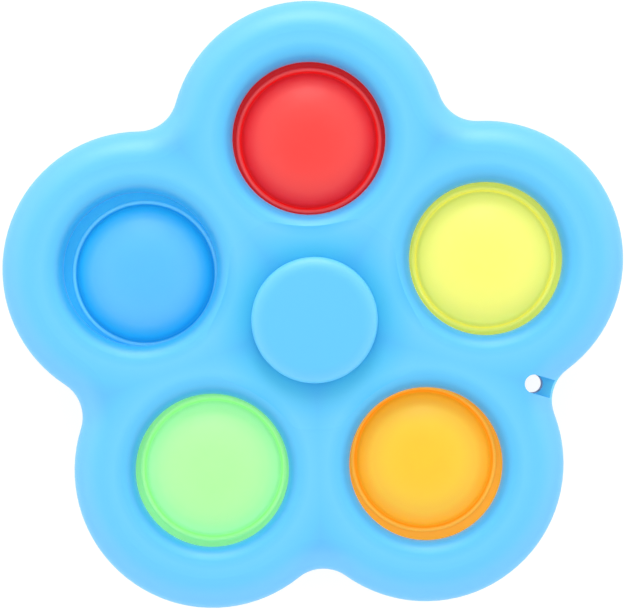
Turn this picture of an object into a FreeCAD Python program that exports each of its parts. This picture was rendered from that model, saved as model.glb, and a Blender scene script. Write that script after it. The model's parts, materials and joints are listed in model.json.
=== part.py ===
import FreeCAD, Part
import math
import os

import Sketcher

# A five-lobed fidget spinner with a silicone pop bubble in each lobe.
# Two moulded shell halves meet at the mid-plane. Between them they clamp the flanges of the five bubbles
# and hold a ball bearing. A finger cap on each side is pressed into the bearing's bore.
# The toy lies on its back cap: the origin is the middle of that cap's face, +Z points up through the toy,
# and +Y points at the lobe of the red bubble.

LOBE_COUNT = 5
BALL_COUNT = 7
FIRST_LOBE = 90
LOBE_STEP = 360 / LOBE_COUNT
BALL_STEP = 360 / BALL_COUNT
BUBBLE_COLOURS = ["red", "blue", "green", "orange", "yellow"]

# Driving sizes in millimetres, and one angle in degrees.
SIZES = {
    # The shell: its outline from above, its thickness and its walls
    "lobe_pitch": 29.2,
    "lobe_radius": 22.2,
    "valley_radius": 6.2,
    "half_thickness": 6.75,
    "rim_radius": 5.0,
    "shell_wall": 2.2,
    "seam_chamfer": 0.25,
    "dish_reach": 7.4,
    "dish_depth": 0.6,
    # The bubble holes in the shell: rolled lip, the relief under it and the flange's seat
    "hole_radius": 12.3,
    "lip_radius": 2.9,
    "lip_land": 1.2,
    "lip_overhang": 0.6,
    "seat_play": 1.2,
    "seat_wall": 1.0,
    # The bubbles: flange, bead, hinge groove and dome
    "flange_radius": 14.8,
    "flange_thickness": 1.5,
    "bead_radius": 11.45,
    "bead_width": 0.6,
    "bead_height": 0.45,
    "groove_width": 0.25,
    "groove_depth": 0.45,
    "dome_rise": 5.55,
    "dome_wall": 0.9,
    "shoulder_radius": 3.9,
    # How far each bubble has settled in its seat, towards the middle and round the flower
    "red_inward": 0.3,
    "red_aside": 0.0,
    "blue_inward": 0.95,
    "blue_aside": 0.4,
    "green_inward": 0.35,
    "green_aside": 0.0,
    "orange_inward": 0.75,
    "orange_aside": 0.17,
    "yellow_inward": 0.2,
    "yellow_aside": 0.0,
    # The bearing
    "bearing_diameter": 22.0,
    "bearing_bore": 8.0,
    "bearing_width": 7.0,
    "ball_diameter": 3.97,
    "ball_clearance": 0.06,
    "inner_race_depth": 0.535,
    "outer_race_depth": 0.685,
    "shield_seat_depth": 0.75,
    "shield_seat_reach": 0.8,
    "shield_thickness": 0.4,
    "shield_gap": 0.4,
    "cage_width": 1.5,
    "cage_base": 2.45,
    "cage_horn": 0.8,
    "bearing_wall": 1.6,
    "bearing_lip": 2.0,
    # The finger caps
    "cap_overlap": 1.1,
    "cap_rise": 2.65,
    "cap_edge_radius": 1.4,
    "cap_gap": 0.4,
    "cap_boss_radius": 5.8,
    "stem_gap": 0.4,
    # The pins that line the halves up, in from the edge of each valley
    "pin_inset": 6.55,
    "pin_radius": 1.3,
    "pin_length": 2.5,
    "pin_clearance": 0.05,
    "pin_wall": 1.1,
    # The hole and channels for a key ring, in from the edge of its valley
    "key_inset": 3.45,
    "key_radius": 1.5,
    "key_angle": -18.0,
    "key_wall": 1.5,
    "channel_depth": 3.0,
}

doc = FreeCAD.newDocument("bubble_pop_spinner")
sheet = doc.addObject("Spreadsheet::Sheet", "Sizes")
for row, (alias, value) in enumerate(SIZES.items(), start=1):
    sheet.set(f"A{row}", alias)
    sheet.set(f"B{row}", str(value))
    sheet.setAlias(f"B{row}", alias)
doc.recompute()

# Sizes that follow from the driving ones, written once and used by every piece that shares them
MID_HEIGHT = "(Sizes.half_thickness + Sizes.cap_rise)"
RELIEF_TOP = "(Sizes.half_thickness - Sizes.lip_radius - Sizes.lip_land)"
RELIEF_RADIUS = "(Sizes.hole_radius + Sizes.lip_overhang)"
SEAT_RADIUS = "(Sizes.flange_radius + Sizes.seat_play)"
FLANGE_TOP = "(Sizes.flange_thickness / 2)"
BEAD_INNER = "(Sizes.bead_radius - Sizes.bead_width / 2)"
BEAD_OUTER = "(Sizes.bead_radius + Sizes.bead_width / 2)"
BEAD_SHOULDER = f"({FLANGE_TOP} + Sizes.bead_height - Sizes.bead_width / 2)"
GROOVE_FLOOR = f"({FLANGE_TOP} - Sizes.groove_depth)"
DOME_RADIUS = f"({BEAD_INNER} - Sizes.groove_width)"
DISH_FLOOR = "(Sizes.half_thickness - Sizes.dish_depth)"
OPENING_RADIUS = "(Sizes.bearing_diameter / 2 - Sizes.bearing_lip)"
CAP_RADIUS = f"({OPENING_RADIUS} + Sizes.cap_overlap)"
DISH_RADIUS = f"({CAP_RADIUS} + Sizes.dish_reach)"
BALL_RADIUS = "(Sizes.ball_diameter / 2)"
RACE_RADIUS = "(Sizes.ball_diameter / 2 + Sizes.ball_clearance)"
BALL_PITCH = "((Sizes.bearing_diameter + Sizes.bearing_bore) / 4)"
INNER_LAND = f"({BALL_PITCH} - {BALL_RADIUS} + Sizes.inner_race_depth)"
OUTER_LAND = f"({BALL_PITCH} + {BALL_RADIUS} - Sizes.outer_race_depth)"
SHIELD_RADIUS = f"({OUTER_LAND} + Sizes.shield_seat_reach)"
CHANNEL_FLOOR = "(Sizes.half_thickness - Sizes.channel_depth)"
HALF_STEP = f"({LOBE_STEP / 2} * 1 deg)"
VALLEY_REACH = (
    f"(Sizes.lobe_pitch * cos{HALF_STEP} - Sizes.valley_radius"
    " + sqrt((Sizes.lobe_radius + Sizes.valley_radius)^2"
    f" - (Sizes.lobe_pitch * sin{HALF_STEP})^2))"
)
PIN_PITCH = f"({VALLEY_REACH} - Sizes.pin_inset)"
KEY_PITCH = f"({VALLEY_REACH} - Sizes.key_inset)"


def amount(expression):
    """The plain number that an expression over the sheet stands for."""
    return float(sheet.evalExpression(expression.replace("Sizes.", "")))


def origin_plane(body, role):
    return next(item for item in body.Origin.OriginFeatures if item.Role == role)


def new_body(name):
    body = doc.addObject("PartDesign::Body", name)
    body.Label = name
    return body


def new_sketch(body, name, role="XY_Plane", height=None, turn=None):
    """A sketch on one of the body's own planes, lifted by height and turned about the plane's normal."""
    sketch = body.newObject("Sketcher::SketchObject", name)
    sketch.AttachmentSupport = [(origin_plane(body, role), "")]
    sketch.MapMode = "FlatFace"
    if turn:
        sketch.AttachmentOffset = FreeCAD.Placement(
            FreeCAD.Vector(), FreeCAD.Rotation(FreeCAD.Vector(0, 0, 1), 1)
        )
        sketch.setExpression("AttachmentOffset.Rotation.Angle", turn)
    if height:
        sketch.setExpression("AttachmentOffset.Base.z", height)
    return sketch


def bind(sketch, constraint, expression):
    """Adds a constraint and ties its value to the sheet."""
    index = sketch.addConstraint(constraint)
    sketch.setExpression(f"Constraints[{index}]", expression)


def pin_along(sketch, kind, axis, geometry, point, expression):
    """Holds one coordinate of a point, measured from the sketch's origin."""
    value = amount(expression)
    if abs(value) < 1e-9:
        sketch.addConstraint(Sketcher.Constraint("PointOnObject", geometry, point, axis))
    elif value > 0:
        bind(sketch, Sketcher.Constraint(kind, -1, 1, geometry, point, value), expression)
    else:
        bind(sketch, Sketcher.Constraint(kind, geometry, point, -1, 1, -value), f"-({expression})")


def pin_point(sketch, geometry, point, across, up):
    pin_along(sketch, "DistanceX", -2, geometry, point, across)
    pin_along(sketch, "DistanceY", -1, geometry, point, up)


def polar(pitch, angle):
    """Expressions for the two coordinates of a point at a distance and an angle in degrees."""
    return f"{pitch} * cos({angle} * 1 deg)", f"{pitch} * sin({angle} * 1 deg)"


def draw_circle(sketch, radius, across="0", up="0"):
    centre = FreeCAD.Vector(amount(across), amount(up), 0)
    circle = Part.Circle(centre, FreeCAD.Vector(0, 0, 1), amount(radius))
    geometry = sketch.addGeometry(circle, False)
    bind(sketch, Sketcher.Constraint("Radius", geometry, amount(radius)), radius)
    pin_point(sketch, geometry, 3, across, up)


def draw_circles(sketch, radius, pitch, first_angle):
    """One circle for each lobe, on a common pitch circle."""
    for index in range(LOBE_COUNT):
        across, up = polar(pitch, first_angle + LOBE_STEP * index)
        draw_circle(sketch, radius, across, up)


def draw_polygon(sketch, corners):
    """A closed run of straight lines through corners given as pairs of expressions."""
    points = [FreeCAD.Vector(amount(across), amount(up), 0) for across, up in corners]
    count = len(points)
    lines = []
    for index in range(count):
        line = Part.LineSegment(points[index], points[(index + 1) % count])
        lines.append(sketch.addGeometry(line, False))
    for index, (across, up) in enumerate(corners):
        sketch.addConstraint(
            Sketcher.Constraint("Coincident", lines[index - 1], 2, lines[index], 1)
        )
        pin_point(sketch, lines[index], 1, across, up)
    return lines


def draw_flower(sketch, lobe_radius, valley_radius):
    """Five lobe arcs joined by five smaller valley arcs, each tangent to its neighbours."""
    pitch = amount("Sizes.lobe_pitch")
    lobe = amount(lobe_radius)
    valley = amount(valley_radius)
    half_step = math.radians(LOBE_STEP / 2)
    across_gap = pitch * math.sin(half_step)
    valley_pitch = pitch * math.cos(half_step) + math.sqrt((lobe + valley) ** 2 - across_gap**2)
    normal = FreeCAD.Vector(0, 0, 1)

    def place(distance, angle):
        turn = math.radians(angle)
        return FreeCAD.Vector(distance * math.cos(turn), distance * math.sin(turn), 0)

    def arc(centre, radius, first, second):
        start = math.atan2(first.y - centre.y, first.x - centre.x)
        stop = math.atan2(second.y - centre.y, second.x - centre.x)
        if stop < start:
            stop += 2 * math.pi
        return sketch.addGeometry(Part.ArcOfCircle(Part.Circle(centre, normal, radius), start, stop), False)

    lobes = []
    valleys = []
    for index in range(LOBE_COUNT):
        angle = FIRST_LOBE + LOBE_STEP * index
        centre = place(pitch, angle)
        after = place(valley_pitch, angle + LOBE_STEP / 2)
        before = place(valley_pitch, angle - LOBE_STEP / 2)
        next_centre = place(pitch, angle + LOBE_STEP)
        lobes.append(arc(centre, lobe, before, after))
        valleys.append(arc(after, valley, next_centre, centre))
    for index in range(LOBE_COUNT):
        following = lobes[(index + 1) % LOBE_COUNT]
        sketch.addConstraint(Sketcher.Constraint("Tangent", lobes[index], 2, valleys[index], 2))
        sketch.addConstraint(Sketcher.Constraint("Tangent", following, 1, valleys[index], 1))
        bind(sketch, Sketcher.Constraint("Radius", lobes[index], lobe), lobe_radius)
        bind(sketch, Sketcher.Constraint("Radius", valleys[index], valley), valley_radius)
        across, up = polar("Sizes.lobe_pitch", FIRST_LOBE + LOBE_STEP * index)
        pin_point(sketch, lobes[index], 3, across, up)


def add_pad(body, sketch, name, length, downwards=False):
    pad = body.newObject("PartDesign::Pad", name)
    pad.Profile = sketch
    pad.Reversed = downwards
    pad.setExpression("Length", length)
    body.Tip = pad
    doc.recompute()
    return pad


def add_pocket(body, sketch, name, length=None, upwards=True):
    """A pocket of a set length, or right through when no length is given."""
    before = body.Shape.Volume
    pocket = body.newObject("PartDesign::Pocket", name)
    pocket.Profile = sketch
    pocket.Reversed = upwards
    if length:
        pocket.setExpression("Length", length)
    else:
        pocket.Type = "ThroughAll"
    body.Tip = pocket
    doc.recompute()
    if body.Shape.Volume >= before:
        raise RuntimeError(f"{body.Label}: the pocket {name} removes nothing")
    return pocket


def add_turned(body, sketch, name):
    """A profile turned a full circle about the body's own axis."""
    turned = body.newObject("PartDesign::Revolution", name)
    turned.Profile = sketch
    turned.ReferenceAxis = (sketch, ["V_Axis"])
    turned.Angle = 360
    body.Tip = turned
    doc.recompute()
    return turned


def add_edge_feature(body, kind, name, size_property, expression, wanted):
    """A fillet or chamfer along every edge of the body that the test picks."""
    base = body.Tip
    edges = [f"Edge{number}" for number, edge in enumerate(base.Shape.Edges, start=1) if wanted(edge)]
    if not edges:
        raise RuntimeError(f"{body.Label}: {name} finds no edge")
    feature = body.newObject(kind, name)
    feature.Base = (base, edges)
    feature.setExpression(size_property, expression)
    body.Tip = feature
    doc.recompute()
    return feature


def at_height(edge, height):
    box = edge.BoundBox
    return abs(box.ZMin - height) < 1e-4 and abs(box.ZMax - height) < 1e-4


def circle_radius(edge):
    return edge.Curve.Radius if isinstance(edge.Curve, Part.Circle) else 0


def shell_hollow(name, key_angle):
    """The space inside a half: the outline set in by the wall, less the walls, bosses and roof."""
    body = new_body(name)
    outline = new_sketch(body, f"{name}_outline")
    draw_flower(
        outline,
        "(Sizes.lobe_radius - Sizes.shell_wall)",
        "(Sizes.valley_radius + Sizes.shell_wall)",
    )
    add_pad(body, outline, f"{name}_space", "Sizes.half_thickness - Sizes.shell_wall")
    roof = amount("Sizes.half_thickness - Sizes.shell_wall")
    add_edge_feature(
        body,
        "PartDesign::Fillet",
        f"{name}_corner",
        "Radius",
        "Sizes.rim_radius - Sizes.shell_wall",
        lambda edge: at_height(edge, roof),
    )
    walls = new_sketch(body, f"{name}_bubble_walls")
    draw_circles(walls, f"({SEAT_RADIUS} + Sizes.seat_wall)", "Sizes.lobe_pitch", FIRST_LOBE)
    add_pocket(body, walls, f"{name}_round_bubbles")
    middle = new_sketch(body, f"{name}_bearing_wall")
    draw_circle(middle, "(Sizes.bearing_diameter / 2 + Sizes.bearing_wall)")
    add_pocket(body, middle, f"{name}_round_bearing")
    bosses = new_sketch(body, f"{name}_pin_bosses")
    draw_circles(
        bosses,
        "(Sizes.pin_radius + Sizes.pin_wall)",
        PIN_PITCH,
        FIRST_LOBE + LOBE_STEP / 2,
    )
    add_pocket(body, bosses, f"{name}_round_pins")
    key = new_sketch(body, f"{name}_key_boss", turn=key_angle)
    draw_circle(key, "(Sizes.key_radius + Sizes.key_wall)", KEY_PITCH)
    add_pocket(body, key, f"{name}_round_key_hole")
    return body


def shell_half(name, has_pins, key_angle):
    """One moulded half, drawn with the mid-plane at zero and the visible face upwards."""
    body = new_body(f"{name}_moulding")
    top = amount("Sizes.half_thickness")
    outline = new_sketch(body, f"{name}_outline")
    draw_flower(outline, "Sizes.lobe_radius", "Sizes.valley_radius")
    add_pad(body, outline, f"{name}_block", "Sizes.half_thickness")
    add_edge_feature(
        body,
        "PartDesign::Fillet",
        f"{name}_rim",
        "Radius",
        "Sizes.rim_radius",
        lambda edge: at_height(edge, top),
    )
    add_edge_feature(
        body,
        "PartDesign::Chamfer",
        f"{name}_seam",
        "Size",
        "Sizes.seam_chamfer",
        lambda edge: at_height(edge, 0),
    )

    # Bubble holes with a rolled lip. Under the lip a wider relief clears the bead, and a recess takes
    # half of the flange.
    holes = new_sketch(body, f"{name}_bubble_holes")
    draw_circles(holes, "Sizes.hole_radius", "Sizes.lobe_pitch", FIRST_LOBE)
    add_pocket(body, holes, f"{name}_holes")
    hole_radius = amount("Sizes.hole_radius")
    add_edge_feature(
        body,
        "PartDesign::Fillet",
        f"{name}_lips",
        "Radius",
        "Sizes.lip_radius",
        lambda edge: at_height(edge, top) and abs(circle_radius(edge) - hole_radius) < 1e-4,
    )
    reliefs = new_sketch(body, f"{name}_relief_bores")
    draw_circles(reliefs, RELIEF_RADIUS, "Sizes.lobe_pitch", FIRST_LOBE)
    add_pocket(body, reliefs, f"{name}_reliefs", RELIEF_TOP)
    seats = new_sketch(body, f"{name}_seat_bores")
    draw_circles(seats, SEAT_RADIUS, "Sizes.lobe_pitch", FIRST_LOBE)
    add_pocket(body, seats, f"{name}_seats", FLANGE_TOP)

    # The middle: a shallow dish round the cap, an opening under it and the bearing's pocket
    dish = new_sketch(body, f"{name}_dish_profile", "XZ_Plane")
    draw_polygon(
        dish,
        [
            ("0", DISH_FLOOR),
            (CAP_RADIUS, DISH_FLOOR),
            (DISH_RADIUS, "Sizes.half_thickness"),
            (DISH_RADIUS, "Sizes.half_thickness + Sizes.dish_depth"),
            ("0", "Sizes.half_thickness + Sizes.dish_depth"),
        ],
    )
    groove = body.newObject("PartDesign::Groove", f"{name}_dish")
    groove.Profile = dish
    groove.ReferenceAxis = (dish, ["V_Axis"])
    groove.Angle = 360
    body.Tip = groove
    doc.recompute()
    opening = new_sketch(body, f"{name}_opening_circle")
    draw_circle(opening, OPENING_RADIUS)
    add_pocket(body, opening, f"{name}_opening")
    pocket = new_sketch(body, f"{name}_bearing_circle")
    draw_circle(pocket, "Sizes.bearing_diameter / 2")
    add_pocket(body, pocket, f"{name}_bearing_pocket", "Sizes.bearing_width / 2")

    # The key ring's hole, and the channel that lets the ring lie over the rim
    key_hole = new_sketch(body, f"{name}_key_circle", turn=key_angle)
    draw_circle(key_hole, "Sizes.key_radius", KEY_PITCH)
    add_pocket(body, key_hole, f"{name}_key_hole")
    channel = new_sketch(body, f"{name}_channel_outline", height=CHANNEL_FLOOR, turn=key_angle)
    far_end = "Sizes.lobe_pitch + Sizes.lobe_radius"
    draw_polygon(
        channel,
        [
            (KEY_PITCH, "-Sizes.key_radius"),
            (far_end, "-Sizes.key_radius"),
            (far_end, "Sizes.key_radius"),
            (KEY_PITCH, "Sizes.key_radius"),
        ],
    )
    add_pocket(body, channel, f"{name}_channel", "Sizes.channel_depth")

    if has_pins:
        pins = new_sketch(body, f"{name}_pin_circles")
        draw_circles(pins, "Sizes.pin_radius", PIN_PITCH, FIRST_LOBE + LOBE_STEP / 2)
        add_pad(body, pins, f"{name}_pins", "Sizes.pin_length", downwards=True)
    else:
        sockets = new_sketch(body, f"{name}_socket_circles")
        draw_circles(
            sockets,
            "(Sizes.pin_radius + Sizes.pin_clearance)",
            PIN_PITCH,
            FIRST_LOBE + LOBE_STEP / 2,
        )
        add_pocket(body, sockets, f"{name}_sockets", "Sizes.pin_length + Sizes.pin_clearance")

    half = doc.addObject("Part::Cut", name)
    half.Label = name
    half.Base = body
    half.Tool = shell_hollow(f"{name}_hollow", key_angle)
    half.setExpression("Placement.Base.z", MID_HEIGHT)
    return half


def bubble(colour, index):
    """One silicone moulding: a flange clamped at the mid-plane, a raised bead, a hinge groove inside the
    bead, and a thin dome that stands up towards the front until it is pressed through."""
    name = f"{colour}_bubble"
    body = new_body(name)
    sketch = new_sketch(body, f"{name}_profile", "XZ_Plane")
    normal = FreeCAD.Vector(0, 0, 1)
    shoulder = amount("Sizes.shoulder_radius")
    wall = amount("Sizes.dome_wall")
    rise = amount("Sizes.dome_rise")
    spread = amount(DOME_RADIUS) - shoulder
    height = rise - amount(GROOVE_FLOOR)
    crown = (spread**2 + height**2 - shoulder**2) / (2 * (height - shoulder))
    shoulder_centre = FreeCAD.Vector(spread, amount(GROOVE_FLOOR), 0)
    crown_centre = FreeCAD.Vector(0, rise - crown, 0)
    to_join = shoulder_centre - crown_centre
    join_angle = math.atan2(to_join.y, to_join.x)

    def arc(centre, radius, start, stop):
        circle = Part.Circle(centre, normal, radius)
        return sketch.addGeometry(Part.ArcOfCircle(circle, start, stop), False)

    outer_shoulder = arc(shoulder_centre, shoulder, 0, join_angle)
    outer_crown = arc(crown_centre, crown, join_angle, math.pi / 2)
    inner_shoulder = arc(shoulder_centre, shoulder - wall, 0, join_angle)
    inner_crown = arc(crown_centre, crown - wall, join_angle, math.pi / 2)
    bead_centre = FreeCAD.Vector(amount("Sizes.bead_radius"), amount(BEAD_SHOULDER), 0)
    bead = arc(bead_centre, amount("Sizes.bead_width") / 2, 0, math.pi)

    inside = f"({DOME_RADIUS} - Sizes.dome_wall)"
    runs = [
        [(DOME_RADIUS, GROOVE_FLOOR), (BEAD_INNER, GROOVE_FLOOR), (BEAD_INNER, BEAD_SHOULDER)],
        [
            (BEAD_OUTER, BEAD_SHOULDER),
            (BEAD_OUTER, FLANGE_TOP),
            ("Sizes.flange_radius", FLANGE_TOP),
            ("Sizes.flange_radius", f"-{FLANGE_TOP}"),
            (inside, f"-{FLANGE_TOP}"),
            (inside, GROOVE_FLOOR),
        ],
        [("0", "(Sizes.dome_rise - Sizes.dome_wall)"), ("0", "Sizes.dome_rise")],
    ]
    ends = []
    for run in runs:
        points = [FreeCAD.Vector(amount(across), amount(up), 0) for across, up in run]
        lines = [
            sketch.addGeometry(Part.LineSegment(first, second), False)
            for first, second in zip(points, points[1:])
        ]
        for number, line in enumerate(lines):
            pin_point(sketch, line, 1, *run[number])
            if number:
                sketch.addConstraint(Sketcher.Constraint("Coincident", lines[number - 1], 2, line, 1))
        pin_point(sketch, lines[-1], 2, *run[-1])
        ends.append((lines[0], lines[-1]))

    (groove_start, groove_end), (flange_start, flange_end), (axis_line, _) = ends
    sketch.addConstraint(Sketcher.Constraint("Coincident", bead, 2, groove_end, 2))
    sketch.addConstraint(Sketcher.Constraint("Coincident", bead, 1, flange_start, 1))
    pin_along(sketch, "DistanceY", -1, bead, 3, BEAD_SHOULDER)
    sketch.addConstraint(Sketcher.Constraint("Coincident", outer_shoulder, 1, groove_start, 1))
    pin_point(sketch, outer_shoulder, 3, f"({DOME_RADIUS} - Sizes.shoulder_radius)", GROOVE_FLOOR)
    sketch.addConstraint(Sketcher.Constraint("Tangent", outer_shoulder, 2, outer_crown, 1))
    sketch.addConstraint(Sketcher.Constraint("PointOnObject", outer_crown, 3, -2))
    sketch.addConstraint(Sketcher.Constraint("Coincident", outer_crown, 2, axis_line, 2))
    sketch.addConstraint(Sketcher.Constraint("Coincident", inner_shoulder, 3, outer_shoulder, 3))
    sketch.addConstraint(Sketcher.Constraint("Coincident", inner_shoulder, 1, flange_end, 2))
    sketch.addConstraint(Sketcher.Constraint("Tangent", inner_shoulder, 2, inner_crown, 1))
    sketch.addConstraint(Sketcher.Constraint("PointOnObject", inner_crown, 3, -2))
    sketch.addConstraint(Sketcher.Constraint("Coincident", inner_crown, 2, axis_line, 1))
    add_turned(body, sketch, f"{name}_turned")

    angle = FIRST_LOBE + LOBE_STEP * index
    inward = f"(Sizes.lobe_pitch - Sizes.{colour}_inward)"
    aside = f"Sizes.{colour}_aside"
    turn = f"({angle} * 1 deg)"
    body.setExpression("Placement.Base.x", f"{inward} * cos{turn} - {aside} * sin{turn}")
    body.setExpression("Placement.Base.y", f"{inward} * sin{turn} + {aside} * cos{turn}")
    body.setExpression("Placement.Base.z", MID_HEIGHT)
    return body


def race_ring(name, corners):
    """A bearing ring turned from a plain section, with the ball groove turned out of it."""
    body = new_body(name)
    section = new_sketch(body, f"{name}_section", "XZ_Plane")
    draw_polygon(section, corners)
    add_turned(body, section, f"{name}_blank")
    before = body.Shape.Volume
    race = new_sketch(body, f"{name}_race_circle", "XZ_Plane")
    draw_circle(race, RACE_RADIUS, BALL_PITCH)
    groove = body.newObject("PartDesign::Groove", f"{name}_race")
    groove.Profile = race
    groove.ReferenceAxis = (race, ["V_Axis"])
    groove.Angle = 360
    body.Tip = groove
    doc.recompute()
    if body.Shape.Volume >= before:
        raise RuntimeError(f"{name}: the race removes nothing")
    body.setExpression("Placement.Base.z", MID_HEIGHT)
    return body


def outer_ring():
    bore = OUTER_LAND
    outside = "Sizes.bearing_diameter / 2"
    face = "Sizes.bearing_width / 2"
    seat = "(Sizes.bearing_width / 2 - Sizes.shield_seat_depth)"
    corners = [
        (bore, f"-{seat}"),
        (SHIELD_RADIUS, f"-{seat}"),
        (SHIELD_RADIUS, f"-{face}"),
        (outside, f"-{face}"),
        (outside, face),
        (SHIELD_RADIUS, face),
        (SHIELD_RADIUS, seat),
        (bore, seat),
    ]
    return race_ring("bearing_outer_ring", corners)


def inner_ring():
    bore = "Sizes.bearing_bore / 2"
    outside = INNER_LAND
    face = "Sizes.bearing_width / 2"
    corners = [(bore, f"-{face}"), (outside, f"-{face}"), (outside, face), (bore, face)]
    return race_ring("bearing_inner_ring", corners)


def bearing_cage():
    """A crown: a ring under the balls with horns between them, its pockets a little wider than a ball."""
    body = new_body("bearing_cage")
    section = new_sketch(body, "cage_section", "XZ_Plane")
    inside = f"({BALL_PITCH} - Sizes.cage_width / 2)"
    outside = f"({BALL_PITCH} + Sizes.cage_width / 2)"
    draw_polygon(
        section,
        [
            (inside, "-Sizes.cage_base"),
            (outside, "-Sizes.cage_base"),
            (outside, "Sizes.cage_horn"),
            (inside, "Sizes.cage_horn"),
        ],
    )
    add_turned(body, section, "cage_blank")
    before = body.Shape.Volume
    pocket = body.newObject("PartDesign::SubtractiveSphere", "ball_pocket")
    pocket.AttachmentSupport = [(origin_plane(body, "XY_Plane"), "")]
    pocket.MapMode = "FlatFace"
    pocket.setExpression("AttachmentOffset.Base.x", BALL_PITCH)
    pocket.setExpression("Radius", f"{RACE_RADIUS} + Sizes.ball_clearance")
    body.Tip = pocket
    doc.recompute()
    pattern = body.newObject("PartDesign::PolarPattern", "ball_pockets")
    pattern.Originals = [pocket]
    pattern.Axis = (origin_plane(body, "Z_Axis"), [""])
    pattern.Angle = 360
    pattern.Occurrences = BALL_COUNT
    body.Tip = pattern
    doc.recompute()
    if body.Shape.Volume >= before:
        raise RuntimeError("bearing_cage: the pockets remove nothing")
    body.setExpression("Placement.Base.z", MID_HEIGHT)
    return body


def bearing_ball(index):
    ball = doc.addObject("Part::Sphere", f"bearing_ball_{index + 1}")
    ball.Label = f"bearing_ball_{index + 1}"
    ball.setExpression("Radius", BALL_RADIUS)
    across, up = polar(BALL_PITCH, BALL_STEP * index)
    ball.setExpression("Placement.Base.x", across)
    ball.setExpression("Placement.Base.y", up)
    ball.setExpression("Placement.Base.z", MID_HEIGHT)
    return ball


def shield(name, side):
    """A thin washer on the outer ring's seat, clear of the inner ring."""
    body = new_body(name)
    section = new_sketch(body, f"{name}_section", "XZ_Plane")
    inside = f"({INNER_LAND} + Sizes.shield_gap)"
    draw_polygon(
        section,
        [
            (inside, "0"),
            (SHIELD_RADIUS, "0"),
            (SHIELD_RADIUS, "Sizes.shield_thickness"),
            (inside, "Sizes.shield_thickness"),
        ],
    )
    add_turned(body, section, f"{name}_washer")
    seat = "(Sizes.bearing_width / 2 - Sizes.shield_seat_depth)"
    if side > 0:
        body.setExpression("Placement.Base.z", f"{MID_HEIGHT} + {seat}")
    else:
        body.setExpression("Placement.Base.z", f"{MID_HEIGHT} - {seat} - Sizes.shield_thickness")
    return body


def finger_cap(name):
    """A flat pad with a rounded edge, on a boss that bears on the inner ring and a stem in its bore."""
    body = new_body(name)
    section = new_sketch(body, f"{name}_section", "XZ_Plane")
    under_pad = f"({DISH_FLOOR} + Sizes.cap_gap)"
    stem = "Sizes.bearing_bore / 2"
    face = "Sizes.bearing_width / 2"
    pad_face = "(Sizes.half_thickness + Sizes.cap_rise)"
    draw_polygon(
        section,
        [
            ("0", "Sizes.stem_gap / 2"),
            (stem, "Sizes.stem_gap / 2"),
            (stem, face),
            ("Sizes.cap_boss_radius", face),
            ("Sizes.cap_boss_radius", under_pad),
            (CAP_RADIUS, under_pad),
            (CAP_RADIUS, pad_face),
            ("0", pad_face),
        ],
    )
    add_turned(body, section, f"{name}_blank")
    height = amount(pad_face)
    add_edge_feature(
        body,
        "PartDesign::Fillet",
        f"{name}_edge",
        "Radius",
        "Sizes.cap_edge_radius",
        lambda edge: at_height(edge, height) and circle_radius(edge) > 0,
    )
    body.setExpression("Placement.Base.z", MID_HEIGHT)
    return body


def turn_over(piece):
    """Turns a piece half a turn about +Y, so that what faced up faces down."""
    piece.Placement = FreeCAD.Placement(FreeCAD.Vector(), FreeCAD.Rotation(FreeCAD.Vector(0, 1, 0), 180))
    piece.setExpression("Placement.Base.z", MID_HEIGHT)
    return piece


pieces = [
    shell_half("front_shell", True, "Sizes.key_angle * 1 deg"),
    turn_over(shell_half("back_shell", False, "(180 - Sizes.key_angle) * 1 deg")),
    outer_ring(),
    inner_ring(),
    bearing_cage(),
    shield("front_shield", 1),
    shield("back_shield", -1),
    finger_cap("front_cap"),
    turn_over(finger_cap("back_cap")),
]
pieces += [bubble(colour, index) for index, colour in enumerate(BUBBLE_COLOURS)]
pieces += [bearing_ball(index) for index in range(BALL_COUNT)]
doc.recompute()

faulty = [item.Label for item in doc.Objects if "Invalid" in item.State or "Error" in item.State]
if faulty:
    raise RuntimeError(f"these objects did not build: {faulty}")
for piece in pieces:
    if piece.Shape.isNull() or not piece.Shape.isValid():
        raise RuntimeError(f"{piece.Label} has no valid shape")

os.makedirs("parts", exist_ok=True)
for piece in pieces:
    piece.Shape.exportStep(f"parts/{piece.Label}.step")
    solids = len(piece.Shape.Solids)
    print(f"{piece.Label}: {solids} solid, {piece.Shape.Volume:.1f} mm3")
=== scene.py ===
# %% [markdown]
# A bubble pop spinner: a light blue flower of plastic with five silicone bubbles and a finger cap.
# This first cell loads the imported model. Its solids are the frame that every visible piece hangs on, in
# metres, with +Z up from the table and +Y towards the red bubble.

# %% Load the frame
import json
import math

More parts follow.
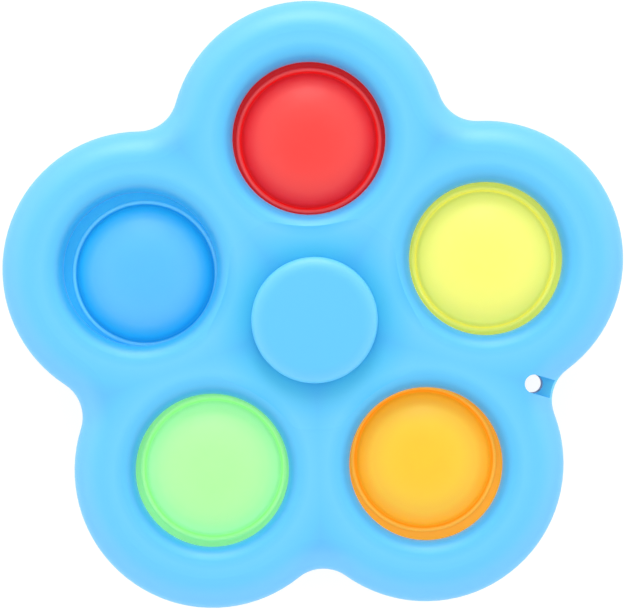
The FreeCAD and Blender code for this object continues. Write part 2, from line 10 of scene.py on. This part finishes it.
import bpy
import numpy as np
from mathutils import Euler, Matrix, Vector


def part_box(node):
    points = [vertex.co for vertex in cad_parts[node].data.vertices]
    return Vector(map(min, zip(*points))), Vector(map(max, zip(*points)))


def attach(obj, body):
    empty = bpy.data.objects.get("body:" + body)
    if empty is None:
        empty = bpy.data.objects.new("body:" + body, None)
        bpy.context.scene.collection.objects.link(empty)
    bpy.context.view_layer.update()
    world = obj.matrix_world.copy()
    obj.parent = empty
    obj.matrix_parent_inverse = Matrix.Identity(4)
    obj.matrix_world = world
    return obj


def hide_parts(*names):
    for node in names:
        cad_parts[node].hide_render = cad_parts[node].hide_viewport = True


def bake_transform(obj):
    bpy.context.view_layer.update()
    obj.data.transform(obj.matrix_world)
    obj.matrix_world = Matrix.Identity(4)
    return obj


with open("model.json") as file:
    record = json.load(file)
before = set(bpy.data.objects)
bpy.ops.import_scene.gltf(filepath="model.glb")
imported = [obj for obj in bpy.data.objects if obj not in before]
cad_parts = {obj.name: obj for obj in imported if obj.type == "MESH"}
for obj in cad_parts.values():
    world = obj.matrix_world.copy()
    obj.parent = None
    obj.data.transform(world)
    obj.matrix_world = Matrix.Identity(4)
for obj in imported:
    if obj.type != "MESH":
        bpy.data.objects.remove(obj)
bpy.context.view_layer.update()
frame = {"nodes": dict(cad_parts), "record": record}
MM = 0.001

# %% [markdown]
# The seam between the two shell halves lies at half the toy's height, and everything is measured from
# there. The places of the bubbles aren't typed in again: the box of each bubble's solid gives its middle,
# so a bubble that has settled a little to one side in its seat is dressed where it really sits. The small
# ring hole is one of the mounts in the record, which gives its middle.

# %% Find the seam, the spin axis and the bubbles
SHELL_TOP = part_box("front_shell")[1].z
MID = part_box("front_cap")[1].z / 2
LOBE_PITCH = 29.2 * MM
FIRST_LOBE = math.radians(90)
LOBE_STEP = math.radians(72)
BUBBLE_NAMES = ["red", "blue", "green", "orange", "yellow"]
bubble_middles = {}
for name in BUBBLE_NAMES:
    corner_low, corner_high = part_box(f"{name}_bubble")
    bubble_middles[name] = (corner_low + corner_high) / 2
    print(name, "bubble at", [round(v / MM, 2) for v in bubble_middles[name][:2]], "mm")
KEY_HOLE = Vector(
    next(mount["pos_m"] for mount in frame["record"]["mounts"] if mount["name"] == "key_hole")
)
print("seam at", round(MID / MM, 2), "mm, shell face at", round(SHELL_TOP / MM, 2), "mm")

# %% [markdown]
# Colours are written the way a paint program shows them, from 0 to 255. Blender's shaders work with linear
# light, so each one is converted once, here.

# %% Turn a colour from 0 to 255 into linear light
def colour(red, green, blue):
    steps = [value / 255 for value in (red, green, blue)]
    linear = [((s + 0.055) / 1.055) ** 2.4 if s > 0.04045 else s / 12.92 for s in steps]
    return (*linear, 1.0)


print("a middle grey in linear light:", round(colour(128, 128, 128)[0], 3))

# %% [markdown]
# A finish is a small graph of nodes. The first helper starts one and hands back its Principled shader, with
# the plain numbers set on the shader's own sockets. The second adds fine noise to it, and the third turns
# that noise into a grain that can just be felt.

# %% Start a finish and add nodes to it
GRAIN_STRENGTH = 0.25
GRAIN_HEIGHT = 0.03 * MM


def new_finish(name, **sockets):
    finish = bpy.data.materials.new(name)
    finish.use_nodes = True
    nodes = finish.node_tree.nodes
    shader = nodes["Principled BSDF"]
    for socket, value in sockets.items():
        shader.inputs[socket.replace("_", " ")].default_value = value
    return finish, nodes, finish.node_tree.links, shader


def noise_between(nodes, links, scale, detail, low_value, high_value):
    """Fine noise in the object's own space, spread over a range of values."""
    place = nodes.new("ShaderNodeTexCoord")
    noise = nodes.new("ShaderNodeTexNoise")
    noise.inputs["Scale"].default_value = scale
    noise.inputs["Detail"].default_value = detail
    spread = nodes.new("ShaderNodeMapRange")
    spread.inputs["To Min"].default_value = low_value
    spread.inputs["To Max"].default_value = high_value
    links.new(place.outputs["Object"], noise.inputs["Vector"])
    links.new(noise.outputs["Fac"], spread.inputs["Value"])
    return noise, spread


def add_fine_bump(nodes, links, shader, noise):
    bump = nodes.new("ShaderNodeBump")
    bump.inputs["Strength"].default_value = GRAIN_STRENGTH
    bump.inputs["Distance"].default_value = GRAIN_HEIGHT
    links.new(noise.outputs["Fac"], bump.inputs["Height"])
    links.new(bump.outputs["Normal"], shader.inputs["Normal"])
    return bump


# %% [markdown]
# A colour ramp turns one number into a colour. Every finish here that changes over a surface uses one, so
# this helper fills a ramp from a list of places and colours.

# %% Fill a colour ramp
def ramp_of(nodes, stops):
    node = nodes.new("ShaderNodeValToRGB")
    ramp = node.color_ramp
    while len(ramp.elements) < len(stops):
        ramp.elements.new(0.5)
    for element, (place, shade) in zip(ramp.elements, stops):
        element.position = place
        element.color = shade
    return node


def grey(value):
    return (value, value, value, 1.0)


# %% [markdown]
# The shell and the caps are moulded from the same light blue plastic. The real one has a soft satin skin:
# it takes broad, weak reflections and shows no sharp highlight. The noise varies the roughness a little and
# gives the skin a very fine grain, as a lightly blasted mould does.

# %% Moulded blue plastic
SHELL_BLUE = colour(88, 196, 247)
CAP_BLUE = colour(87, 195, 247)
SATIN = 0.46


def moulded_plastic(name, base, roughness):
    finish, nodes, links, shader = new_finish(
        name,
        Base_Color=base,
        Specular_IOR_Level=1.0,
        Sheen_Weight=0.15,
        Sheen_Roughness=0.4,
        Subsurface_Weight=0.12,
        Subsurface_Radius=(0.6, 1.0, 1.0),
        Subsurface_Scale=0.0012,
    )
    noise, spread = noise_between(
        nodes, links, scale=900, detail=3, low_value=roughness - 0.04, high_value=roughness + 0.05
    )
    links.new(spread.outputs["Result"], shader.inputs["Roughness"])
    add_fine_bump(nodes, links, shader, noise)
    return finish


shell_plastic = moulded_plastic("shell_plastic", SHELL_BLUE, SATIN)
cap_plastic = moulded_plastic("cap_plastic", CAP_BLUE, SATIN)
print("plastics:", shell_plastic.name, cap_plastic.name)

# %% [markdown]
# Painted shade and painted highlights are put into the shell's colour here. A deeper blue is painted where
# the surface turns down out of the light: on the rolled lip of each hole, in the shallow dish round the
# cap, and in the channel of the small ring hole. A paler blue on the crest of each lip is a painted
# highlight, and a duller blue on the outer rims is painted shade that tones down their reflection. Three
# ramps do that, and their colours are multiplied. The first reads the distance to the nearest hole's
# middle, found as the smallest of five distances. The others read the distance to the spin axis and to the
# middle of the ring hole. Distances are in millimetres.

# %% Painted shade in the holes and round the cap, painted highlights on the lip crests
PAINTED_SHADE_BLUE = colour(28, 166, 226)
PAINTED_HALF_SHADE_BLUE = colour(60, 187, 241)
PAINTED_HIGHLIGHT_BLUE = colour(100, 201, 249)
PAINTED_RIM_SHADE_BLUE = colour(84, 186, 246)
FIELD_REACH = 25.0
# Painted shade deepens the blue on each hole's lip, a painted highlight pales its crest, and painted shade
# dulls the outer rims.
PAINTED_LIGHT_BY_HOLE = [
    (13.1, PAINTED_SHADE_BLUE),
    (13.9, PAINTED_HALF_SHADE_BLUE),
    (14.8, SHELL_BLUE),
    (15.8, PAINTED_HIGHLIGHT_BLUE),
    (18.5, SHELL_BLUE),
    (20.8, PAINTED_RIM_SHADE_BLUE),
]
# Painted shade round the raised cap, darkest at its edge.
PAINTED_SHADE_BY_AXIS = [
    (10.4, (0.36, 1.02, 0.95, 1)),
    (11.6, (0.46, 1, 0.96, 1)),
    (13.0, (0.70, 1, 0.98, 1)),
    (16.0, (1, 1, 1, 1)),
]
# Painted shade in the channel of the small ring hole.
PAINTED_SHADE_BY_KEY_HOLE = [(4.6, (0.66, 1.20, 1.02, 1)), (5.6, (1, 1, 1, 1))]


# Paints shade and highlights into the shell's base colour, by distance to the holes, the spin axis and the
# ring hole.
def paint_light_and_shade_on_shell(finish):
    nodes = finish.node_tree.nodes
    links = finish.node_tree.links
    place = nodes.new("ShaderNodeTexCoord")
    flat = nodes.new("ShaderNodeVectorMath")
    flat.operation = "MULTIPLY"
    flat.inputs[1].default_value = (1, 1, 0)
    links.new(place.outputs["Object"], flat.inputs[0])

    def distance_to(x, y, z=None):
        node = nodes.new("ShaderNodeVectorMath")
        node.operation = "DISTANCE"
        node.inputs[1].default_value = (x, y, z or 0)
        links.new(flat.outputs["Vector"] if z is None else place.outputs["Object"], node.inputs[0])
        return node.outputs["Value"]

    nearest = None
    for step in range(len(BUBBLE_NAMES)):
        angle = FIRST_LOBE + LOBE_STEP * step
        there = distance_to(LOBE_PITCH * math.cos(angle), LOBE_PITCH * math.sin(angle))
        if nearest is None:
            nearest = there
            continue
        smaller = nodes.new("ShaderNodeMath")
        smaller.operation = "MINIMUM"
        links.new(nearest, smaller.inputs[0])
        links.new(there, smaller.inputs[1])
        nearest = smaller.outputs[0]

    def shades(distance, stops):
        scaled = nodes.new("ShaderNodeMath")
        scaled.operation = "DIVIDE"
        scaled.inputs[1].default_value = FIELD_REACH * MM
        ramp = ramp_of(nodes, [(radius / FIELD_REACH, shade) for radius, shade in stops])
        links.new(distance, scaled.inputs[0])
        links.new(scaled.outputs[0], ramp.inputs["Fac"])
        return ramp.outputs["Color"]

    blue = shades(nearest, PAINTED_LIGHT_BY_HOLE)
    for distance, stops in (
        (distance_to(0, 0), PAINTED_SHADE_BY_AXIS),
        (distance_to(*KEY_HOLE), PAINTED_SHADE_BY_KEY_HOLE),
    ):
        product = nodes.new("ShaderNodeMix")
        product.data_type = "RGBA"
        product.blend_type = "MULTIPLY"
        product.inputs["Factor"].default_value = 1
        links.new(blue, product.inputs["A"])
        links.new(shades(distance, stops), product.inputs["B"])
        blue = product.outputs["Result"]
    links.new(blue, nodes["Principled BSDF"].inputs["Base Color"])


paint_light_and_shade_on_shell(shell_plastic)
print("the shell's blue is drawn from", len(PAINTED_LIGHT_BY_HOLE + PAINTED_SHADE_BY_AXIS + PAINTED_SHADE_BY_KEY_HOLE), "shades")

# %% [markdown]
# Silicone is cloudy rather than clear: light goes in, scatters and comes out nearby. Where the piece is
# thick, light travels further through the dye and the colour comes out deeper. So each bubble has four
# colours: its thin crown, the foot of its dome, the raised bead, and the flange in its seat. The foot's
# colour is partly that deeper dye and partly painted shade for the dark crease deep in the hole, and where
# the bead is lighter than the foot, that is a painted highlight along its crest. Each point of the mesh
# carries its distance from the axis, and a ramp turns that distance into the colour.
#
# Scattered light does two more things. It evens out the shading of a slope, so the normal that the shader
# works with is leaned towards the bubble's axis. And the silicone carries light from its lit crown down to
# its foot, deep between the walls of the hole. A render would need far more bounces of light to find that
# way down, so the foot gets a painted glow instead: a share of its own colour is emitted as light, though
# the silicone is no lamp. Distances are in millimetres again.

# %% Cloudy silicone in five colours
SILICONES = {
    "red": {
        "crown": colour(250, 67, 63), "foot": colour(240, 28, 32), "bead": colour(250, 80, 82),
        "flange": colour(230, 28, 34), "painted_glow": 0.46, "painted_glow_in_flange": 0.24,
    },
    "yellow": {
        "crown": colour(247, 248, 120), "foot": colour(238, 236, 108), "bead": colour(240, 240, 116),
        "flange": colour(240, 242, 112), "painted_glow": 0.50, "painted_glow_in_flange": 0.27,
    },
    "orange": {
        "crown": colour(249, 203, 46), "foot": colour(255, 164, 26), "bead": colour(254, 180, 64),
        "flange": colour(255, 168, 46), "painted_glow": 0.64, "painted_glow_in_flange": 0.52,
    },
    "green": {
        "crown": colour(181, 250, 166), "foot": colour(168, 252, 160), "bead": colour(170, 250, 162),
        "flange": colour(164, 252, 166), "painted_glow": 0.55, "painted_glow_in_flange": 0.30,
    },
    "blue": {
        "crown": colour(88, 191, 249), "foot": colour(30, 172, 234), "bead": colour(106, 206, 252),
        "flange": colour(60, 198, 250), "painted_glow": 0.45, "painted_glow_in_flange": 0.24,
    },
}
WIDEST = 15.0
# How strong the painted glow is at each distance from the axis, as a share of each bubble's own strength.
PAINTED_GLOW_SHARE = [
    (3.0, 0.0),
    (6.0, 0.08),
    (8.0, 0.22),
    (9.3, 0.55),
    (10.2, 1.0),
    (10.9, 0.86),
    (11.3, 0.6),
    (11.7, 0.9),
]
FLANGE_FROM = 12.1
LEAN = 0.9


def between(first, second, share):
    return tuple(a + (b - a) * share for a, b in zip(first, second))


def lean_to_axis(nodes, links, bump):
    """Feeds the bump node a normal that leans towards the object's Z axis, on whichever side it faces."""
    surface = nodes.new("ShaderNodeNewGeometry")
    axis = nodes.new("ShaderNodeVectorTransform")
    axis.vector_type = "VECTOR"
    axis.convert_from = "OBJECT"
    axis.convert_to = "WORLD"
    axis.inputs["Vector"].default_value = (0, 0, 1)
    facing = nodes.new("ShaderNodeVectorMath")
    facing.operation = "DOT_PRODUCT"
    side = nodes.new("ShaderNodeMath")
    side.operation = "SIGN"
    amount = nodes.new("ShaderNodeMath")
    amount.operation = "MULTIPLY"
    amount.inputs[1].default_value = LEAN
    pull = nodes.new("ShaderNodeVectorMath")
    pull.operation = "SCALE"
    leaned = nodes.new("ShaderNodeVectorMath")
    leaned.operation = "ADD"
    unit = nodes.new("ShaderNodeVectorMath")
    unit.operation = "NORMALIZE"
    links.new(surface.outputs["Normal"], facing.inputs[0])
    links.new(axis.outputs["Vector"], facing.inputs[1])
    links.new(facing.outputs["Value"], side.inputs[0])
    links.new(side.outputs[0], amount.inputs[0])
    links.new(axis.outputs["Vector"], pull.inputs[0])
    links.new(amount.outputs[0], pull.inputs["Scale"])
    links.new(surface.outputs["Normal"], leaned.inputs[0])
    links.new(pull.outputs["Vector"], leaned.inputs[1])
    links.new(leaned.outputs["Vector"], unit.inputs[0])
    links.new(unit.outputs["Vector"], bump.inputs["Normal"])


def silicone(name, crown, foot, bead, flange, painted_glow, painted_glow_in_flange):
    finish, nodes, links, shader = new_finish(
        name,
        Specular_IOR_Level=0.3,
        Coat_Weight=0.7,
        Coat_Roughness=0.4,
        Subsurface_Weight=0.6,
        Subsurface_Radius=(1.0, 0.8, 0.7),
        Subsurface_Scale=0.001,
    )
    distance = nodes.new("ShaderNodeAttribute")
    distance.attribute_name = "from_axis"
    by_radius = [
        (6.0, crown),
        (8.4, between(crown, foot, 0.3)),
        (9.4, between(crown, foot, 0.7)),
        (10.3, foot),
        (11.1, foot),
        (11.3, bead),
        (11.6, bead),
        (11.8, flange),
    ]
    # The dye's colours by radius, with painted shade deepening the foot and a painted highlight on the
    # bead.
    dye_and_painted_light = ramp_of(nodes, [(radius / WIDEST, shade) for radius, shade in by_radius])
    links.new(distance.outputs["Fac"], dye_and_painted_light.inputs["Fac"])
    links.new(dye_and_painted_light.outputs["Color"], shader.inputs["Base Color"])
    # Painted glow: a share of the dye colour is emitted as light, strongest near the foot.
    light = [(radius, share * painted_glow) for radius, share in PAINTED_GLOW_SHARE]
    light.append((FLANGE_FROM, painted_glow_in_flange))
    painted_glow_ramp = ramp_of(nodes, [(radius / WIDEST, grey(strength)) for radius, strength in light])
    links.new(distance.outputs["Fac"], painted_glow_ramp.inputs["Fac"])
    links.new(painted_glow_ramp.outputs["Color"], shader.inputs["Emission Strength"])
    links.new(dye_and_painted_light.outputs["Color"], shader.inputs["Emission Color"])
    noise, spread = noise_between(nodes, links, scale=500, detail=2, low_value=0.36, high_value=0.44)
    links.new(spread.outputs["Result"], shader.inputs["Roughness"])
    bump = add_fine_bump(nodes, links, shader, noise)
    lean_to_axis(nodes, links, bump)
    return finish


silicones = {name: silicone(f"{name}_silicone", **dyes_and_painted_light) for name, dyes_and_painted_light in SILICONES.items()}
print("silicones:", ", ".join(silicones))

# %% [markdown]
# The bearing sits out of sight between the caps, and is still finished: ground steel rings, rolled shields,
# polished balls and a cage of cream plastic.

# %% Steel and cage finishes
def steel(name, base, roughness, grain):
    finish, nodes, links, shader = new_finish(name, Base_Color=base, Metallic=1.0)
    noise, spread = noise_between(
        nodes, links, scale=grain, detail=4, low_value=roughness - 0.05, high_value=roughness + 0.08
    )
    links.new(spread.outputs["Result"], shader.inputs["Roughness"])
    return finish


ring_steel = steel("ring_steel", colour(196, 198, 202), 0.25, 1500)
shield_steel = steel("shield_steel", colour(206, 208, 211), 0.35, 1100)
ball_steel = steel("ball_steel", colour(224, 226, 230), 0.10, 600)
cage_plastic = moulded_plastic("cage_plastic", colour(226, 215, 184), 0.5)
cage_plastic.node_tree.nodes["Principled BSDF"].inputs["Subsurface Weight"].default_value = 0
FINISHES = {
    "front_shell": shell_plastic,
    "back_shell": shell_plastic,
    "front_cap": cap_plastic,
    "back_cap": cap_plastic,
    "bearing_outer_ring": ring_steel,
    "bearing_inner_ring": ring_steel,
    "front_shield": shield_steel,
    "back_shield": shield_steel,
    "bearing_cage": cage_plastic,
}
FINISHES.update({node: ball_steel for node in frame["nodes"] if node.startswith("bearing_ball")})
FINISHES.update({f"{name}_bubble": silicones[name] for name in BUBBLE_NAMES})
for node, finish in FINISHES.items():
    solid = frame["nodes"][node]
    solid.data.materials.clear()
    solid.data.materials.append(finish)
print(len(FINISHES), "solids carry a finish")

# %% [markdown]
# The bubbles and the caps are round, so each is turned on a lathe. A half section is drawn as a list of
# points, each a distance from the axis and a height above the seam, and is then spun into rings of quads.
# Drawing the section keeps a bubble's features crisp: the clamped flange, the raised bead, the
# groove that lets the dome fold, and the dome.

# %% Spin a half section into a mesh
def lathe(name, section, segments, middle):
    """A closed solid from a half section that starts and ends on the axis."""
    points = [middle + Vector((0, 0, section[0][1]))]
    faces = []
    for radius, height in section[1:-1]:
        for step in range(segments):
            turn = 2 * math.pi * step / segments
            points.append(middle + Vector((radius * math.cos(turn), radius * math.sin(turn), height)))
    points.append(middle + Vector((0, 0, section[-1][1])))
    ring_count = len(section) - 2
    last = len(points) - 1
    for step in range(segments):
        after = (step + 1) % segments
        faces.append((0, 1 + step, 1 + after))
        for ring in range(ring_count - 1):
            start = 1 + ring * segments
            below = start + segments
            faces.append((start + step, below + step, below + after, start + after))
        start = 1 + (ring_count - 1) * segments
        faces.append((start + step, last, start + after))
    mesh = bpy.data.meshes.new(name)
    mesh.from_pydata(points, [], faces)
    mesh.validate()
    mesh.shade_smooth()
    distances = [math.hypot(p.x - middle.x, p.y - middle.y) / MM / WIDEST for p in points]
    mesh.attributes.new("from_axis", "FLOAT", "POINT").data.foreach_set("value", distances)
    piece = bpy.data.objects.new(name, mesh)
    bpy.context.scene.collection.objects.link(piece)
    return piece


def arc(middle_radius, middle_height, radius, start, stop, count):
    """Points along an arc of a section, with its angles in degrees."""
    turns = np.radians(np.linspace(start, stop, count))
    return [(middle_radius + radius * math.cos(t), middle_height + radius * math.sin(t)) for t in turns]


# %% [markdown]
# The dome is half of an ellipse, steep at its foot and flat at its crown. The section runs from the crown
# down over the bead and the flange, and back under the flange to the hollow inside of the dome. Its sizes
# are in millimetres, and its heights are counted from the seam.

# %% The bubble's half section
FLANGE_TOP = 0.75
FLANGE_RADIUS = 14.8
BEAD_RADIUS = 11.45
GROOVE_FLOOR = 0.3
DOME_RADIUS = 10.9
DOME_TOP = 5.55
DOME_WALL = 0.9
GROOVE_HALF_WIDTH = 0.12
BEAD_HALF_WIDTH = 0.29
BEAD_LIFT = 0.15
BEAD_FILLET = 0.2
FLANGE_EDGE = 0.15
MOUTH_EDGE = 0.3


def bubble_section():
    rise = DOME_TOP - GROOVE_FLOOR
    crown_to_foot = np.linspace(0, math.pi / 2, 40)
    outside = [(DOME_RADIUS * math.sin(t), GROOVE_FLOOR + rise * math.cos(t)) for t in crown_to_foot]
    groove = arc(DOME_RADIUS + GROOVE_HALF_WIDTH, GROOVE_FLOOR + 0.1, GROOVE_HALF_WIDTH, 180, 360, 9)
    bead = arc(BEAD_RADIUS, FLANGE_TOP + BEAD_LIFT, BEAD_HALF_WIDTH, 180, 0, 13)
    fillet_middle = BEAD_RADIUS + BEAD_HALF_WIDTH + BEAD_FILLET
    fillet = arc(fillet_middle, FLANGE_TOP + BEAD_FILLET, BEAD_FILLET, 180, 270, 6)
    edge_middle = FLANGE_RADIUS - FLANGE_EDGE
    rim = arc(edge_middle, FLANGE_TOP - FLANGE_EDGE, FLANGE_EDGE, 90, 0, 5)
    under = arc(edge_middle, FLANGE_EDGE - FLANGE_TOP, FLANGE_EDGE, 0, -90, 5)
    wide = DOME_RADIUS - DOME_WALL
    tall = rise - DOME_WALL
    mouth = arc(wide + MOUTH_EDGE, MOUTH_EDGE - FLANGE_TOP, MOUTH_EDGE, 270, 180, 6)
    inside = [(wide * math.sin(t), GROOVE_FLOOR + tall * math.cos(t)) for t in crown_to_foot[::-1]]
    points = outside + groove + bead + fillet + rim + under + mouth + inside
    return [(radius * MM, height * MM) for radius, height in points]


section = bubble_section()
print("the section has", len(section), "points")

# %% [markdown]
# Pressing a bubble turns its dome inside out while its flange stays clamped. Here each bubble is turned
# from the section at the middle of its solid, at the height of the seam, and is shown instead of the solid,
# which is hidden.

# %% Make the five bubbles
for name in BUBBLE_NAMES:
    spot = bubble_middles[name]
    middle = Vector((spot.x, spot.y, MID))
    piece = lathe(f"{name}_silicone_bubble", section, 160, middle)
    piece.data.materials.append(silicones[name])
    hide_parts(f"{name}_bubble")
    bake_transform(piece)
print("bubbles made:", len(BUBBLE_NAMES), "with", len(piece.data.polygons), "faces each")

# %% [markdown]
# The finger caps are pads of the same plastic, a little domed, with a broad soft edge that a thumb slides
# over. The solid's edge is a plain fillet, so each cap is turned again here with a softer one. Its boss and
# stem go down into the bearing as on the solid.

# %% Turn the two finger caps
CAP_RADIUS = 10.1
CAP_FACE = 9.4
CROWN_DROP = 0.12
EDGE_START = 7.4
EDGE_DROP = 1.5
PAD_UNDERSIDE = 6.55
UNDER_EDGE = 0.2
BOSS_RADIUS = 5.8
BEARING_FACE = 3.5
STEM_RADIUS = 4.0
STEM_END = 0.2


def cap_section():
    crown = [(EDGE_START * s, CAP_FACE - CROWN_DROP * s * s) for s in np.linspace(0, 1, 12)]
    wide = CAP_RADIUS - EDGE_START
    deep = EDGE_DROP - CROWN_DROP
    edge_top = CAP_FACE - CROWN_DROP
    edge = [
        (EDGE_START + wide * math.sin(t), edge_top - deep * (1 - math.cos(t)))
        for t in np.linspace(0, math.pi / 2, 24)
    ]
    below = [
        (CAP_RADIUS, PAD_UNDERSIDE + UNDER_EDGE),
        (CAP_RADIUS - 0.3 * UNDER_EDGE, PAD_UNDERSIDE + 0.3 * UNDER_EDGE),
        (CAP_RADIUS - UNDER_EDGE, PAD_UNDERSIDE),
        (BOSS_RADIUS, PAD_UNDERSIDE),
        (BOSS_RADIUS, BEARING_FACE),
        (STEM_RADIUS, BEARING_FACE),
        (STEM_RADIUS, STEM_END),
        (0, STEM_END),
    ]
    return [(radius * MM, height * MM) for radius, height in crown + edge[1:] + below]


for side, node in ((1, "front_cap"), (-1, "back_cap")):
    rows = [(radius, height * side) for radius, height in cap_section()]
    pad = lathe(f"{node}_pad", rows if side > 0 else rows[::-1], 160, Vector((0, 0, MID)))
    pad.data.materials.append(cap_plastic)
    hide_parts(node)
    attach(pad, "hub")
    print(pad.name, "has", len(pad.data.polygons), "faces")

# %% [markdown]
# The floor and the light make the picture, not the toy. The floor shows pure white to the camera and in
# reflections, and is an ordinary pale surface to every other ray, so it still catches the toy's shadow.

# %% White floor
REACH = 1.5
GLOW_TO_CAMERA = 0.86
PALE = 0.85
PALE_UNDER_GLOW = 0.24
floor_mesh = bpy.data.meshes.new("floor")
floor_mesh.from_pydata(
    [(-REACH, -REACH, 0), (REACH, -REACH, 0), (REACH, REACH, 0), (-REACH, REACH, 0)],
    [],
    [(0, 1, 2, 3)],
)
floor = bpy.data.objects.new("floor", floor_mesh)
bpy.context.scene.collection.objects.link(floor)
floor.location.z = -0.0002
finish, nodes, links, shader = new_finish(
    "white_floor", Roughness=0.9, Specular_IOR_Level=0.1, Emission_Color=(1, 1, 1, 1)
)
rays = nodes.new("ShaderNodeLightPath")
seen = nodes.new("ShaderNodeMath")
seen.operation = "MAXIMUM"
seen_through = nodes.new("ShaderNodeMath")
seen_through.operation = "MAXIMUM"
glow = nodes.new("ShaderNodeMath")
glow.operation = "MULTIPLY"
glow.inputs[1].default_value = GLOW_TO_CAMERA
own_colour = nodes.new("ShaderNodeMix")
own_colour.data_type = "RGBA"
own_colour.inputs["A"].default_value = grey(PALE)
own_colour.inputs["B"].default_value = grey(PALE_UNDER_GLOW)
links.new(rays.outputs["Is Camera Ray"], seen.inputs[0])
links.new(rays.outputs["Is Glossy Ray"], seen.inputs[1])
links.new(seen.outputs[0], seen_through.inputs[0])
links.new(rays.outputs["Is Transmission Ray"], seen_through.inputs[1])
links.new(seen_through.outputs[0], glow.inputs[0])
links.new(glow.outputs[0], shader.inputs["Emission Strength"])
links.new(seen_through.outputs[0], own_colour.inputs["Factor"])
links.new(own_colour.outputs["Result"], shader.inputs["Base Color"])
floor_mesh.materials.append(finish)

# %% [markdown]
# The toy was lit as in a light tent: the walls round it are bright, and overhead, where the camera looks
# in, it is a little darker. That is why the rounded rims look paler than the flat face, and why the shell
# is darker beside the raised cap, which hides part of the walls; the shade there is also painted into the
# shell's colour. The sky is a gradient that does the same, and one large soft lamp beyond the top of the
# picture gives the domes their lit upper halves.

# %% Lamps and sky
LAMP_PLACE = Vector((0.0, 0.75, 0.40))
light = bpy.data.lights.new("top_lamp", "AREA")
light.shape = "DISK"
light.size = 0.5
light.energy = 2.3
lamp = bpy.data.objects.new("top_lamp", light)
lamp.location = LAMP_PLACE
lamp.rotation_euler = (-LAMP_PLACE).to_track_quat("-Z", "Y").to_euler()
bpy.context.scene.collection.objects.link(lamp)
TENT_BRIGHTNESS = 1.83
TENT_FROM_WALLS_TO_ROOF = [(0.0, 1.0), (0.25, 0.9), (0.5, 0.78), (0.77, 0.55), (0.94, 0.2), (1.0, 0.15)]
world = bpy.data.worlds.new("light_tent")
bpy.context.scene.world = world
world.use_nodes = True
sky = world.node_tree
direction = sky.nodes.new("ShaderNodeTexCoord")
parts = sky.nodes.new("ShaderNodeSeparateXYZ")
fade = ramp_of(sky.nodes, [(height, grey(share)) for height, share in TENT_FROM_WALLS_TO_ROOF])
brightness = sky.nodes.new("ShaderNodeMath")
brightness.operation = "MULTIPLY"
brightness.inputs[1].default_value = TENT_BRIGHTNESS
sky.links.new(direction.outputs["Generated"], parts.inputs["Vector"])
sky.links.new(parts.outputs["Z"], fade.inputs["Fac"])
sky.links.new(fade.outputs["Color"], brightness.inputs[0])
sky.links.new(brightness.outputs[0], sky.nodes["Background"].inputs["Strength"])
sky.nodes["Background"].inputs["Color"].default_value = (1, 1, 1, 1)
bpy.context.scene.view_settings.view_transform = "Standard"

# %% [markdown]
# The photograph looks straight down at the toy from far away, so every lobe and hole is seen without any
# slant. The toy is turned a little in the picture, and lies slightly below its middle.

# %% Camera
CAMERA_HEIGHT = 0.8
PICTURE_WIDTH = 625
PIXELS_PER_MM = 6.2
TURN = math.radians(-1.78)
RIGHT_BY = 2.0
DOWN_BY = 14.95
camera = bpy.data.cameras.new("camera")
camera.sensor_width = 36
camera.lens = PIXELS_PER_MM / MM * CAMERA_HEIGHT * camera.sensor_width / PICTURE_WIDTH
camera_object = bpy.data.objects.new("camera", camera)
bpy.context.scene.collection.objects.link(camera_object)
turned = Euler((0, 0, TURN))
offset = Vector((-RIGHT_BY, DOWN_BY, 0)) / PIXELS_PER_MM * MM
offset.rotate(turned)
camera_object.rotation_euler = turned
camera_object.location = Vector((offset.x, offset.y, MID + CAMERA_HEIGHT))
bpy.context.scene.camera = camera_object
print("lens", round(camera.lens, 1), "mm")
